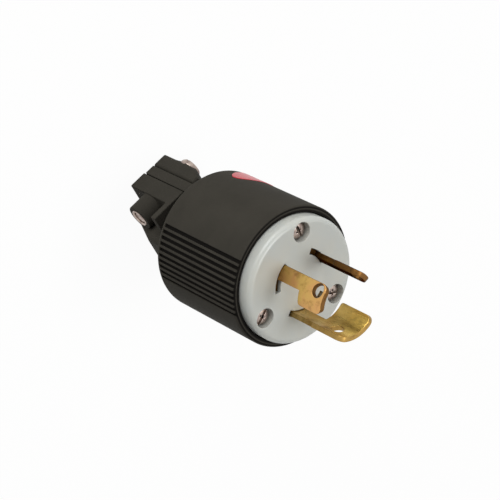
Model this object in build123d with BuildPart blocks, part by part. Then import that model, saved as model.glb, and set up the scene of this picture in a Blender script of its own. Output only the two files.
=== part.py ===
from build123d import *
from math import cos, degrees, radians, sin
import os

# A round locking power plug with three curved blades and a two-jaw cord clamp.
# Millimetres. The plug stands on its clamp: its axis is Z and the blades point up, along +Z.
# The origin is the centre of the front face.
# Angles turn from +X towards +Y, which is anticlockwise as seen from the front.

# Front body: the pale moulding that carries the blades
nose_gap = 0.2
nose_proud = 3.8
nose_edge = 1.5
face_thickness = 5.0
skirt_depth = 16.0
skirt_wall = 1.9
column_radius = 3.0

# Blades, cut from sheet and curved round the plug's axis
sheet = 1.4
blade_radius = 9.1
neutral_blade_step = 0.5
ground_blade_step = 0.5
notch_z = 8.5
shoulder = 1.9
shoulder_angle = 8.0
root_recess = 1.0
slot_clearance = 0.15
tip_corner = 2.0
heel_corner = 0.8
tip_bevel = 0.45
blade_hole_radius = 1.8
hot_tip_angles = (28.0, 68.0)
hot_stalk_angles = (28.0, 50.0)
hot_reach = 18.0
hot_hole_height = 15.0
hot_hole_angle = 39.0
neutral_tip_angles = (131.0, 187.0)
neutral_stalk_angles = (131.0, 160.0)
neutral_reach = 17.4
neutral_hole_height = 14.7
neutral_hole_angle = 145.8
ground_tip_angles = (245.0, 325.0)
ground_stalk_angles = (247.0, 280.0)
ground_reach = 20.0
ground_hole_height = 14.6
ground_hole_angle = 269.0

# Terminals behind the blades
arm_width = 8.2
terminal_depth = 19.6
arm_past_terminal = 3.2
terminal_screw_radius = 2.0
terminal_head_radius = 3.4
terminal_head = 2.0
terminal_screw_tail = 1.6
wire_share = 0.52
plate_side = 7.6
plate_thickness = 1.2
thread_clearance = 0.05

# Terminal block: the moulding that traps the blades from behind
block_past_arm = 1.2
block_clearance = 0.25
chamber_start = 12.5
chamber_width = 10.4
arm_clearance = 0.15

# Assembly screws, from the face into the shell's posts
blade_to_screw = 4.9
screw_angles = (90.0, 210.0, 330.0)
screw_radius = 1.75
screw_head_radius = 2.5
screw_head = 1.8
recess_radius = 2.75
recess_depth = 3.0
screw_hole_clearance = 0.2
screw_tip_margin = 1.0
drive_width = 0.9
drive_depth = 0.9
drive_turn = 25.0

# Shell: the dark housing
blade_to_shell = 10.7
shell_length = 33.5
front_wall = 1.94
rear_bore_step = 0.95
rear_wall = 4.0
rear_round = 1.4
rim_bevel = 0.5
neck_radius = 10.6
neck_length = 3.8
cord_hole_radius = 8.0
post_radius = 3.7
post_gap = 0.3
insert_radius = 2.6
insert_length = 6.0

# Grip panels: fine grooves along the two sides of the shell, open at its front
grooves = 10
groove_pitch = 4.86
groove_width = 0.95
groove_depth = 0.6
grip_angle = 174.6

# Badge: a bare oval let into the back of the shell's top
badge_angle = 58.0
badge_setback = 6.9
badge_half_length = 4.6
badge_half_width = 9.0
badge_thickness = 0.5
badge_proud = 0.12
badge_clearance = 0.1

# Dust seal in the rear wall
seal_outer_radius = 11.0
seal_inner_radius = 6.4
seal_thickness = 1.5
seal_clearance = 0.05

# Cord clamp: two equal halves that close along the clamp's own direction
clamp_angle = 30.0
clamp_gap = 5.1
clamp_length = 18.2
clamp_half_width = 15.3
saddle_half_width = 7.7
saddle_top = 12.2
saddle_flat = 6.9
saddle_rear_top = 7.9
saddle_rear_setback = 1.6
saddle_parting = 0.8
cord_groove_radius = 6.6
cord_land_radius = 6.0
land_width = 2.0
lands = 3
cheek_top = 9.7
cheek_front_bevel = 2.4
cheek_front_slope = 4.0
cheek_corner = 4.8
tail_plate_top = 4.0
boss_radius = 3.9
boss_top = 9.9
front_flange = 2.0
jaw_round = 1.0

# Rails: the two arms of the shell that the clamp closes on
rail_inner = 8.0
rail_low = 1.6
rail_high = 4.8
rail_end_setback = 0.4
rail_clearance = 0.2
rail_round = 0.5

# Clamp screws, one driven from each side
clamp_screw_setback = 8.3
clamp_screw_offset = 11.3
clamp_screw_radius = 2.0
clamp_head_radius = 3.4
clamp_head = 2.4
clamp_head_sink = 0.2
clamp_hole_clearance = 0.25
clamp_screw_short = 0.4
clamp_insert_radius = 2.7
clamp_insert_length = 5.5
clamp_insert_proud = 0.2

# Heights, radii and directions that follow from the sizes above
rim_z = -nose_proud
back_z = rim_z - shell_length
wall_z = back_z + rear_wall
face_back_z = -face_thickness
skirt_z = -skirt_depth
block_front_z = face_back_z - shoulder
arm_back_z = -terminal_depth - arm_past_terminal
block_back_z = arm_back_z - block_past_arm
post_z = block_back_z - post_gap
clamp_front_z = back_z - clamp_gap
clamp_back_z = clamp_front_z - clamp_length
saddle_back_z = clamp_back_z + saddle_rear_setback
clamp_screw_z = clamp_back_z + clamp_screw_setback
neutral_blade_radius = blade_radius - neutral_blade_step
ground_blade_radius = blade_radius + ground_blade_step
screw_circle = blade_radius + blade_to_screw
shell_radius = blade_radius + blade_to_shell
bore_radius = shell_radius - front_wall
rear_bore_radius = bore_radius - rear_bore_step
nose_radius = bore_radius - nose_gap
skirt_inner_radius = nose_radius - skirt_wall
block_radius = skirt_inner_radius - block_clearance
screw_head_z = -recess_depth
clamp_directions = (clamp_angle, clamp_angle + 180.0)
grip_angles = (grip_angle, grip_angle + 180.0)


def across(z):
    """The plane square to the axis at a height."""
    return Plane.XY.offset(z)


def outward(angle):
    """The unit vector square to the axis at an angle."""
    return Vector(cos(radians(angle)), sin(radians(angle)), 0)


def facing(z, radius, angle):
    """The plane that faces outwards at an angle; its own x runs along the axis."""
    return Plane(origin=Vector(0, 0, z) + outward(angle) * radius, x_dir=(0, 0, 1), z_dir=outward(angle))


def clamp_section(z, direction):
    """The plane square to the axis at a height; its own y runs along a clamp direction."""
    return Plane(origin=(0, 0, z), x_dir=outward(direction - 90), z_dir=(0, 0, 1))


def clamp_side(side, direction):
    """The side view of a clamp half; its own x is the axis and its own y the clamp direction."""
    return Plane(origin=outward(direction - 90) * side, x_dir=(0, 0, 1), z_dir=outward(direction + 90))


def at_angle(radius, angle):
    """A point on a plane made by across, from its radius and angle."""
    return radius * cos(radians(angle)), radius * sin(radians(angle))


def curved_strip(inner, outer, start, end):
    """The section of sheet curved round the axis, from one angle to another."""
    with BuildSketch() as strip:
        with BuildLine():
            CenterArc((0, 0), outer, start, end - start)
            CenterArc((0, 0), inner, start, end - start)
            Line(at_angle(inner, start), at_angle(outer, start))
            Line(at_angle(inner, end), at_angle(outer, end))
        make_face()
    return strip.sketch


def slot_angle(radius, gap):
    """The angle that a gap takes up at a radius."""
    return degrees(gap / radius)


def headed_screw(label, seat, shank_radius, shank_length, head_radius, head_height):
    """A slotted screw whose head sits on a plane and whose shank points against it."""
    with BuildPart() as screw:
        with BuildSketch(seat):
            Circle(head_radius)
        extrude(amount=head_height)
        fillet(screw.edges().sort_by(Axis(seat.origin, seat.z_dir))[-1], head_height / 4)
        with BuildSketch(seat):
            Circle(shank_radius)
        extrude(amount=-shank_length)
        with BuildSketch(seat.offset(head_height)):
            Rectangle(2 * head_radius, drive_width)
        extrude(amount=-drive_depth, mode=Mode.SUBTRACT)
    screw.part.label = label
    return screw


def ring_insert(label, mouth, outer_radius, inner_radius, length):
    """A plain threaded insert that goes down from a plane."""
    with BuildPart() as insert:
        with BuildSketch(mouth):
            Circle(outer_radius)
            Circle(inner_radius, mode=Mode.SUBTRACT)
        extrude(amount=-length)
    insert.part.label = label
    return insert


screw_places = [at_angle(screw_circle, angle) for angle in screw_angles]

# Front body
with BuildPart() as front_body:
    with BuildSketch(across(skirt_z)):
        Circle(nose_radius)
    extrude(amount=skirt_depth)
    fillet(front_body.edges().sort_by(Axis.Z)[-1], nose_edge)
    with BuildSketch(across(skirt_z)):
        Circle(skirt_inner_radius)
    extrude(amount=skirt_depth - face_thickness, mode=Mode.SUBTRACT)
    # Columns that carry the screws down to the end of the skirt
    with BuildSketch(across(skirt_z)):
        with Locations(*screw_places):
            Circle(column_radius)
        Circle(skirt_inner_radius + skirt_wall / 2, mode=Mode.INTERSECT)
    extrude(amount=skirt_depth - face_thickness)
    # Screw holes and the recesses of their heads
    with BuildSketch(across(skirt_z)):
        with Locations(*screw_places):
            Circle(screw_radius + screw_hole_clearance)
    extrude(amount=skirt_depth, mode=Mode.SUBTRACT)
    with BuildSketch(across(-recess_depth)):
        with Locations(*screw_places):
            Circle(recess_radius)
    extrude(amount=recess_depth, mode=Mode.SUBTRACT)
    # Slots as wide as the blades' tips, so that the blades go in from behind
    for tip_angles, radius in (
        (hot_tip_angles, blade_radius),
        (neutral_tip_angles, neutral_blade_radius),
        (ground_tip_angles, ground_blade_radius),
    ):
        slack = slot_angle(radius, slot_clearance)
        slot = curved_strip(
            radius - sheet - slot_clearance,
            radius + slot_clearance,
            tip_angles[0] - slack,
            tip_angles[1] + slack,
        )
        with BuildSketch(across(face_back_z)):
            add(slot)
        extrude(amount=face_thickness, mode=Mode.SUBTRACT)
front_body.part.label = "front_body"


def locking_blade(label, radius, tip_angles, stalk_angles, reach, hole_height, hole_angle):
    """A blade: a pierced stalk, a wide locking tip, a trapped shoulder and a flat terminal arm."""
    inner = radius - sheet
    middle = sum(tip_angles) / 2
    with BuildPart() as blade:
        with BuildSketch(across(notch_z)):
            add(curved_strip(inner, radius, *tip_angles))
        extrude(amount=reach - notch_z)
        heel_place = Vertex(*at_angle(radius, tip_angles[1]), notch_z)
        heel = blade.edges().group_by(Axis.Z)[0].filter_by(GeomType.LINE)
        fillet(heel.sort_by(lambda edge: edge.distance_to(heel_place))[0], heel_corner)
        with BuildSketch(across(face_back_z)):
            add(curved_strip(inner, radius, *stalk_angles))
        extrude(amount=reach - face_back_z)
        fillet(blade.edges().group_by(Axis.Z)[-1].filter_by(GeomType.LINE), tip_corner)
        chamfer(blade.faces().sort_by(Axis.Z)[-1].edges(), tip_bevel)
        # Root that fills the slot, a little below the face
        with BuildSketch(across(face_back_z)):
            add(curved_strip(inner, radius, *tip_angles))
        extrude(amount=face_thickness - root_recess)
        # Shoulder behind the face, wider than its slot
        with BuildSketch(across(block_front_z)):
            add(curved_strip(inner, radius, tip_angles[0] - shoulder_angle, tip_angles[1] + shoulder_angle))
        extrude(amount=shoulder)
        # Terminal arm, flat and square to the terminal screw
        with BuildSketch(facing(0, inner, middle)):
            with Locations(((face_back_z + arm_back_z) / 2, 0)):
                Rectangle(face_back_z - arm_back_z, arm_width)
        extrude(amount=sheet)
        with BuildSketch(facing(-terminal_depth, 0, middle)):
            Circle(terminal_screw_radius + thread_clearance)
        extrude(amount=radius, mode=Mode.SUBTRACT)
        with BuildSketch(facing(hole_height, 0, hole_angle)):
            Circle(blade_hole_radius)
        extrude(amount=radius + sheet, mode=Mode.SUBTRACT)
    blade.part.label = label
    return blade


hot_blade = locking_blade(
    "hot_blade",
    blade_radius,
    hot_tip_angles,
    hot_stalk_angles,
    hot_reach,
    hot_hole_height,
    hot_hole_angle,
)
neutral_blade = locking_blade(
    "neutral_blade",
    neutral_blade_radius,
    neutral_tip_angles,
    neutral_stalk_angles,
    neutral_reach,
    neutral_hole_height,
    neutral_hole_angle,
)
ground_blade = locking_blade(
    "ground_blade",
    ground_blade_radius,
    ground_tip_angles,
    ground_stalk_angles,
    ground_reach,
    ground_hole_height,
    ground_hole_angle,
)

# Terminals: the name of each, the inside of its blade and the angle that it faces
terminals = (
    ("hot", blade_radius - sheet, sum(hot_tip_angles) / 2),
    ("neutral", neutral_blade_radius - sheet, sum(neutral_tip_angles) / 2),
    ("ground", ground_blade_radius - sheet, sum(ground_tip_angles) / 2),
)

# Terminal block
with BuildPart() as terminal_block:
    with BuildSketch(across(block_back_z)):
        Circle(block_radius)
        with Locations(*screw_places):
            Circle(column_radius + block_clearance, mode=Mode.SUBTRACT)
    extrude(amount=block_front_z - block_back_z)
    for _, arm_inner, angle in terminals:
        # Slot that the blade's arm passes through
        with BuildSketch(facing(block_back_z, arm_inner - arm_clearance, angle)):
            with Locations(((block_front_z - block_back_z) / 2, 0)):
                Rectangle(block_front_z - block_back_z, arm_width + 2 * arm_clearance)
        extrude(amount=sheet + 2 * arm_clearance, mode=Mode.SUBTRACT)
        # Wiring chamber, open outwards and to the rear
        with BuildSketch(facing(block_back_z, arm_inner - arm_clearance, angle)):
            with Locations(((-chamber_start - block_back_z) / 2, 0)):
                Rectangle(-chamber_start - block_back_z, chamber_width)
        extrude(amount=block_radius, mode=Mode.SUBTRACT)
        # Room for the end of the terminal screw
        with BuildSketch(facing(-terminal_depth, arm_inner, angle)):
            Circle(terminal_screw_radius + arm_clearance)
        extrude(amount=-terminal_screw_tail - arm_clearance, mode=Mode.SUBTRACT)
terminal_block.part.label = "terminal_block"

# Terminal screws and the square plates that press the wires down
terminal_pieces = []
for name, arm_inner, angle in terminals:
    arm_outer = arm_inner + sheet
    wire_space = (rear_bore_radius - arm_outer - plate_thickness - terminal_head) * wire_share
    plate_seat = arm_outer + wire_space
    with BuildPart() as pressure_plate:
        with BuildSketch(facing(-terminal_depth, plate_seat, angle)):
            RectangleRounded(plate_side, plate_side, plate_thickness / 2)
            Circle(terminal_screw_radius + thread_clearance, mode=Mode.SUBTRACT)
        extrude(amount=plate_thickness)
    pressure_plate.part.label = f"{name}_pressure_plate"
    terminal_screw = headed_screw(
        f"{name}_terminal_screw",
        facing(-terminal_depth, plate_seat + plate_thickness, angle),
        terminal_screw_radius,
        plate_thickness + wire_space + sheet + terminal_screw_tail,
        terminal_head_radius,
        terminal_head,
    )
    terminal_pieces += [pressure_plate, terminal_screw]


def badge_oval(label, clearance):
    """An oval of sheet on the shell's back edge, wider all round by a clearance."""
    with BuildPart() as oval:
        with BuildSketch(facing(back_z + badge_setback, 0, badge_angle)):
            Ellipse(badge_half_length + clearance, badge_half_width + clearance)
        extrude(amount=2 * shell_radius)
        with BuildSketch(across(back_z)):
            Circle(shell_radius + badge_proud)
            Circle(shell_radius + badge_proud - badge_thickness, mode=Mode.SUBTRACT)
        extrude(amount=shell_length, mode=Mode.INTERSECT)
    oval.part.label = label
    return oval


# Badge, and the shallow seat for it
badge = badge_oval("badge", 0)
badge_seat = badge_oval("badge_seat", badge_clearance)

# Shell
with BuildPart() as shell:
    with BuildSketch(Plane.ZX):
        with BuildLine():
            Polyline(
                (rim_z, bore_radius),
                (rim_z, shell_radius - rim_bevel),
                (rim_z - rim_bevel, shell_radius),
                (back_z, shell_radius),
                (back_z, neck_radius),
                (back_z - neck_length, neck_radius),
                (back_z - neck_length, cord_hole_radius),
                (wall_z - seal_thickness, cord_hole_radius),
                (wall_z - seal_thickness, seal_outer_radius),
                (wall_z, seal_outer_radius),
                (wall_z, rear_bore_radius),
                (skirt_z, rear_bore_radius),
                (skirt_z, bore_radius),
                close=True,
            )
        make_face()
    revolve(axis=Axis.Z)
    rear_edge = (
        shell.edges()
        .filter_by(GeomType.CIRCLE)
        .filter_by(lambda edge: abs(edge.radius - shell_radius) < 1e-6)
        .sort_by(Axis.Z)[0]
    )
    fillet(rear_edge, rear_round)
    # Posts that the assembly screws pull on
    with BuildSketch(across(wall_z)):
        with Locations(*screw_places):
            Circle(post_radius)
        Circle(rear_bore_radius + (shell_radius - rear_bore_radius) / 2, mode=Mode.INTERSECT)
    extrude(amount=post_z - wall_z)
    with BuildSketch(across(post_z)):
        with Locations(*screw_places):
            Circle(insert_radius)
    extrude(amount=-insert_length - screw_tip_margin, mode=Mode.SUBTRACT)
    # Rails that run back beside the cord, one each side of the clamp's parting
    rail_size = (clamp_half_width - rail_inner, rail_high - rail_low)
    rail_middle = ((clamp_half_width + rail_inner) / 2, (rail_high + rail_low) / 2)
    rail_length = back_z - clamp_back_z - rail_end_setback
    with BuildSketch(clamp_section(back_z, clamp_directions[0])):
        with Locations((-rail_middle[0], rail_middle[1]), (rail_middle[0], -rail_middle[1])):
            Rectangle(*rail_size)
    extrude(amount=-rail_length)
    rail_ends = shell.faces().sort_by(Axis.Z)[:2]
    fillet([edge for face in rail_ends for edge in face.edges()], rail_round)
    for direction in clamp_directions:
        hole_plane = facing(clamp_screw_z, 0, direction)
        with BuildSketch(hole_plane):
            with Locations((0, -clamp_screw_offset)):
                Circle(clamp_screw_radius + clamp_hole_clearance)
        extrude(amount=shell_radius, mode=Mode.SUBTRACT)
    # Grooves of the grip panels
    for centre in grip_angles:
        with BuildSketch(across(back_z + rear_round)):
            with PolarLocations(
                shell_radius, grooves, centre - groove_pitch * (grooves - 1) / 2, groove_pitch * grooves
            ):
                Rectangle(2 * groove_depth, groove_width)
        extrude(amount=shell_length, mode=Mode.SUBTRACT)
    # Seat of the badge
    add(badge_seat.part, mode=Mode.SUBTRACT)
shell.part.label = "shell"

# Dust seal
with BuildPart() as dust_seal:
    with BuildSketch(across(wall_z)):
        Circle(seal_outer_radius - seal_clearance)
        Circle(seal_inner_radius, mode=Mode.SUBTRACT)
    extrude(amount=-seal_thickness)
dust_seal.part.label = "dust_seal"

# Assembly screws and the inserts in the shell's posts
assembly_pieces = []
insert_floor = post_z - insert_length
for number, (angle, place) in enumerate(zip(screw_angles, screw_places), start=1):
    assembly_screw = headed_screw(
        f"assembly_screw_{number}",
        Plane(origin=(*place, screw_head_z), x_dir=outward(angle + drive_turn), z_dir=(0, 0, 1)),
        screw_radius,
        screw_head_z - insert_floor,
        screw_head_radius,
        screw_head,
    )
    shell_insert = ring_insert(
        f"shell_insert_{number}",
        Plane(origin=(*place, post_z)),
        insert_radius,
        screw_radius + thread_clearance,
        insert_length,
    )
    assembly_pieces += [assembly_screw, shell_insert]


def clamp_half(label, direction):
    """A half of the clamp: a saddle over the cord, a screw cheek and a nut boss."""
    side = Axis((0, 0, 0), outward(direction - 90))
    tail_low = -rail_low + rail_clearance
    with BuildPart() as half:
        # Saddle over the cord, lower at the back
        with BuildSketch(clamp_side(saddle_half_width, direction)):
            with BuildLine():
                Polyline(
                    (clamp_front_z, saddle_parting),
                    (clamp_front_z, saddle_top),
                    (clamp_front_z - saddle_flat, saddle_top),
                    (saddle_back_z, saddle_rear_top),
                    (saddle_back_z, saddle_parting),
                    close=True,
                )
            make_face()
        extrude(amount=2 * saddle_half_width)
        crown = half.edges().filter_by(
            lambda edge: edge.center().dot(outward(direction)) > saddle_rear_top
            and abs(edge.center().dot(side.direction)) > saddle_half_width / 2
        )
        fillet(crown, 2 * jaw_round)
        # Cheek that the screw's head pulls on
        with BuildSketch(clamp_side(-saddle_half_width, direction)):
            with BuildLine():
                Polyline(
                    (clamp_back_z, rail_high + rail_clearance),
                    (clamp_back_z, cheek_top),
                    (clamp_front_z - cheek_front_slope, cheek_top),
                    (clamp_front_z, cheek_top - cheek_front_bevel),
                    (clamp_front_z, rail_high + rail_clearance),
                    close=True,
                )
            make_face()
        extrude(amount=clamp_half_width - saddle_half_width)
        fillet(half.faces().sort_by(side)[0].edges(), jaw_round)
        # Cheek tapered at the back, where the cord comes out
        with BuildSketch(facing(clamp_back_z, 0, direction)):
            with BuildLine():
                Polyline(
                    (0, -saddle_half_width),
                    (cheek_corner, -saddle_half_width),
                    (0, -saddle_half_width - cheek_corner),
                    close=True,
                )
            make_face()
        extrude(amount=saddle_top, mode=Mode.SUBTRACT)
        # Tail plate and front flange on the boss's side
        with BuildSketch(clamp_side(clamp_half_width, direction)):
            with BuildLine():
                Polyline(
                    (clamp_back_z, tail_low),
                    (clamp_back_z, tail_plate_top),
                    (clamp_front_z - front_flange, tail_plate_top),
                    (clamp_front_z - front_flange, boss_top),
                    (clamp_front_z, boss_top),
                    (clamp_front_z, tail_low),
                    close=True,
                )
            make_face()
        extrude(amount=clamp_half_width - saddle_half_width)
        fillet(half.faces().sort_by(side)[-1].edges(), jaw_round / 2)
        # Boss for the insert
        with BuildSketch(facing(clamp_screw_z, saddle_parting, direction)):
            with Locations((0, clamp_screw_offset)):
                Circle(boss_radius)
        extrude(amount=boss_top - saddle_parting)
        # Relief beside the other half's saddle
        with BuildSketch(clamp_section(clamp_back_z, direction)):
            with Locations(((saddle_half_width + rail_inner) / 2, (tail_low + saddle_parting) / 2)):
                Rectangle(rail_inner - saddle_half_width, saddle_parting - tail_low)
        extrude(amount=clamp_length, mode=Mode.SUBTRACT)
        # Groove for the cord, with narrow lands that bite on it
        with BuildSketch(across(clamp_back_z)):
            Circle(cord_land_radius)
        extrude(amount=clamp_length, mode=Mode.SUBTRACT)
        land_pitch = (clamp_front_z - saddle_back_z) / lands
        for gap in range(lands + 1):
            with BuildSketch(across(saddle_back_z + (gap - 0.5) * land_pitch + land_width / 2)):
                Circle(cord_groove_radius)
            extrude(amount=land_pitch - land_width, mode=Mode.SUBTRACT)
        # Hole and sunk seat for the screw on one side, hole and seat for the insert on the other
        with BuildSketch(facing(clamp_screw_z, tail_low, direction)):
            with Locations((0, -clamp_screw_offset), (0, clamp_screw_offset)):
                Circle(clamp_screw_radius + clamp_hole_clearance)
        extrude(amount=saddle_top, mode=Mode.SUBTRACT)
        with BuildSketch(facing(clamp_screw_z, cheek_top - clamp_head_sink, direction)):
            with Locations((0, -clamp_screw_offset)):
                Circle(clamp_head_radius + clamp_hole_clearance)
        extrude(amount=clamp_head, mode=Mode.SUBTRACT)
        with BuildSketch(facing(clamp_screw_z, boss_top + clamp_insert_proud, direction)):
            with Locations((0, clamp_screw_offset)):
                Circle(clamp_insert_radius)
        extrude(amount=-clamp_insert_length, mode=Mode.SUBTRACT)
    half.part.label = label
    return half


# Cord clamp, with one screw driven from each side
clamp_pieces = []
clamp_screw_length = (
    cheek_top - clamp_head_sink + boss_top + clamp_insert_proud - clamp_screw_short
)
for number, direction in enumerate(clamp_directions, start=1):
    screw_line = outward(direction - 90) * -clamp_screw_offset
    seat = facing(clamp_screw_z, cheek_top - clamp_head_sink, direction)
    mouth = facing(clamp_screw_z, boss_top + clamp_insert_proud, direction + 180)
    clamp_pieces += [
        clamp_half(f"clamp_half_{number}", direction),
        headed_screw(
            f"clamp_screw_{number}",
            Plane(origin=seat.origin + screw_line, x_dir=seat.x_dir, z_dir=seat.z_dir),
            clamp_screw_radius,
            clamp_screw_length,
            clamp_head_radius,
            clamp_head,
        ),
        ring_insert(
            f"clamp_insert_{number}",
            Plane(origin=mouth.origin + screw_line, x_dir=mouth.x_dir, z_dir=mouth.z_dir),
            clamp_insert_radius,
            clamp_screw_radius + thread_clearance,
            clamp_insert_length,
        ),
    ]

pieces = [front_body, hot_blade, neutral_blade, ground_blade, terminal_block]
pieces += terminal_pieces + [shell, badge, dust_seal] + assembly_pieces + clamp_pieces
os.makedirs("parts", exist_ok=True)
for piece in pieces:
    export_step(piece.part, f"parts/{piece.part.label}.step")
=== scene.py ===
"""The locking power plug, dressed for its picture."""
import bmesh
import bpy
from math import cos, degrees, pi, radians, sin
from mathutils import Matrix, Vector


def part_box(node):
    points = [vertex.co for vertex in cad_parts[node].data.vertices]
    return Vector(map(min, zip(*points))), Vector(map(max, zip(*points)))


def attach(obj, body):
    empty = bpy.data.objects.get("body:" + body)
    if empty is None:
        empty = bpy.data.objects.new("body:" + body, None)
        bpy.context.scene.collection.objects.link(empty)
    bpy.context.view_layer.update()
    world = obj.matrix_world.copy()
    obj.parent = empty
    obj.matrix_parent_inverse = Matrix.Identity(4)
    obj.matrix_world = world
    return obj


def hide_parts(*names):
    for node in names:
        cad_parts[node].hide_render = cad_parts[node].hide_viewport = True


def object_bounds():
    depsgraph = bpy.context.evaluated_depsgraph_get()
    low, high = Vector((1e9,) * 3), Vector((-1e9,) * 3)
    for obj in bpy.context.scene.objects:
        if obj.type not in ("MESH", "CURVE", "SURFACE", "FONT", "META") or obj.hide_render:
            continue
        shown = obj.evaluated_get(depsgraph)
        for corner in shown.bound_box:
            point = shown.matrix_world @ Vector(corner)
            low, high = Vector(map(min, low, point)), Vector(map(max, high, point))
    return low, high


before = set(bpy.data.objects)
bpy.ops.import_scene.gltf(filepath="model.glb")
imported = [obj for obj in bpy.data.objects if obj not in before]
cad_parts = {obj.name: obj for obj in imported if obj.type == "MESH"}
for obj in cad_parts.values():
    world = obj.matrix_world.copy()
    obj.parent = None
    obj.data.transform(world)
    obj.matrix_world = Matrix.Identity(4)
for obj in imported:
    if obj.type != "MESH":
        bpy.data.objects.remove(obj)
CAD_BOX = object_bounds()

bl_info = {
    "name": "Locking power plug",
    "version": (1, 0, 0),
    "blender": (4, 5, 0),
    "location": "View3D > Sidebar > Plug",
    "description": "Models the visible pieces of a locking power plug over its CAD frame",
    "category": "Object",
}

BODY = "root"
METRE = 1000.0

# The sizes below are in millimetres and degrees. The front face is at zero height, with all that is behind it
# below zero, and angles run from +X to +Y.

# How near an edge or a face lies to where it is looked for, how far a cutter runs past what it cuts, and the
# softening of small edges
NEAR = 0.01
PAST = 1.0
SMALL_EDGE = 0.14

# Face screws
FACE_SCREWS = (90.0, 210.0, 330.0)
SCREW_CIRCLE = 14.0
SCREW_SEAT = -3.0

# Nose
SKIRT_WALL = 1.9
FACE_BACK = -5.0
COLUMN = 3.0
COLUMN_TOP = -4.0
SCREW_HOLE = 1.95
SLOT_WIDTH = 1.7

# Where each blade's slot starts and ends, and its outer radius
BLADE_SLOTS = (
    (27.06, 68.94, 9.25),
    (130.0, 188.0, 8.75),
    (244.1, 325.9, 9.75),
)

# Blades: how many degrees the shoulder runs past the tip on each side, the heights of the hidden parts, the
# rounded corners, and the width of a strip between the lines that let the sheet roll smoothly
SHOULDER = 8.0
SHOULDER_TOP = -5.0
ROOT_TOP = -1.0
BLANK_END = -6.9
TIP_ROUND = 2.0
HEEL_ROUND = 0.8
LEAD_IN = 0.45
STRIP = 2.5

# Blades: the flat arm behind each, with its tapped hole
ARM_HALF = 4.1
ARM_TOP = -4.9
ARM_END = -22.8
TERMINAL = -19.6
TAPPED = 2.05

# Housing
RIM = -3.8
RIM_BEVEL = 0.5
BORE_STEP = -16.0
WALL = -33.3
BACK = -37.3
NECK = 10.6
NECK_LENGTH = 3.8
CORD_HOLE = 8.0
SEAL_SEAT = 11.0
SEAL_DEPTH = 1.5
POST = 3.7
POST_TOP = -24.3
POST_HOLE = 2.6
POST_HOLE_FLOOR = -31.3

# Grip panels: the middle of each, and how many grooves it has
GRIPS = (174.6, 354.6)
GROOVES = 10

# Badge
BADGE_ANGLE = 58.0
BADGE_SETBACK = 6.9
BADGE_HALF_WIDTH = 9.27
BADGE_HALF_LENGTH = 4.6
BADGE_SHEET = 0.5
BADGE_PROUD = 0.12
BADGE_CLEARANCE = 0.1
BADGE_STRIPS = 24

# Rails of the housing that the clamp closes on
RAIL_INNER = 8.0
RAIL_OUTER = 15.3
RAIL_LOW = 1.6
RAIL_HIGH = 4.8
RAIL_END = -60.2

# Cord clamp: where each half faces, then the sizes of one that faces +Y with a screw's head at minus X
CLAMP_SIDES = (30.0, 210.0)
CLAMP_FRONT = -42.4
CLAMP_BACK = -60.6
SADDLE_BACK = -59.0
SADDLE_TOP = 12.2
SADDLE_PARTING = 0.8
SADDLE_SLOPE = 9.7
SADDLE_DROP = 4.3
SADDLE_ROUND = 2.0
TAIL_LOW = -1.4
TAIL_TOP = 4.0
TAIL_OVERLAP = 1.4
FLANGE = 2.0
FLANGE_RISE = 5.9
BOSS = 3.9
BOSS_TOP = 9.9
CHEEK_LOW = 5.0
CHEEK_TOP = 9.7
CHEEK_SLOPE = 4.0
CHEEK_DROP = 2.4
CHEEK_ROUND = 1.0
CHEEK_CORNER = 4.8
CORD_GROOVE = 6.6
LAND = 2.0
LANDS = 3

# Clamp screws and their inserts
CLAMP_SCREW = -52.3
CLAMP_SCREW_OFFSET = 11.3
CLAMP_SCREW_HOLE = 2.25
CLAMP_SCREW_SEAT = 9.5
HEAD_RECESS = 3.65
INSERT = 2.7
INSERT_BORE = 2.05
INSERT_LENGTH = 5.5
INSERT_TOP = 10.1

# How white the floor looks by itself, which leaves a faint shadow, and the strength of the room's light
FLOOR_GLOW = 0.95
ROOM_LIGHT = 0.3
WHITE = "#ffffff"


def mm(size):
    """A length in metres, in the millimetres that the pieces are modelled in."""
    return size * METRE


def top_of(node):
    """The height of a node's top, in millimetres."""
    return mm(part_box(node)[1][2])


def bottom_of(node):
    """The height of a node's bottom, in millimetres."""
    return mm(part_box(node)[0][2])


def length(name, description, default):
    """A size of a group, in metres."""
    return bpy.props.FloatProperty(name=name, description=description, default=default, unit="LENGTH")


def colour_for(what, default):
    """The sRGB colour of a group's main material."""
    return bpy.props.StringProperty(name="Colour", description=f"sRGB colour of the {what}", default=default)


class HousingSizes(bpy.types.PropertyGroup):
    """Sizes of the dark housing."""

    radius: length("Radius", "Outside of the housing", 0.0198)
    bore: length("Bore", "Radius of the mouth that the pale nose sits in", 0.01786)
    rear_bore: length("Rear bore", "Radius of the space round the terminals", 0.01691)
    rear_round: length("Rear round", "Rounding of the back edge", 0.0014)
    groove_width: length("Groove width", "Width of one grip groove", 0.00095)
    groove_depth: length("Groove depth", "Depth of one grip groove", 0.0006)
    groove_pitch: bpy.props.FloatProperty(
        name="Groove pitch",
        description="Angle from one grip groove to the next",
        default=radians(4.86),
        subtype="ANGLE",
    )
    colour: colour_for("black nylon", "#32302b")


class NoseSizes(bpy.types.PropertyGroup):
    """Sizes of the pale front body."""

    radius: length("Radius", "Outside of the nose", 0.01766)
    edge: length("Edge round", "Rounding of the front edge", 0.0015)
    recess: length("Recess radius", "Radius of the recess round a face screw", 0.00275)
    colour: colour_for("white nylon", "#b4bab9")


class BladeSizes(bpy.types.PropertyGroup):
    """Sizes that the three blades share."""

    sheet: length("Sheet", "Thickness of the brass", 0.0014)
    notch: length("Notch", "Height of the locking notch above the face", 0.0085)
    hole: length("Hole radius", "Radius of the pierced hole", 0.0018)
    colour: colour_for("yellow brass", "#cda95f")


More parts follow.
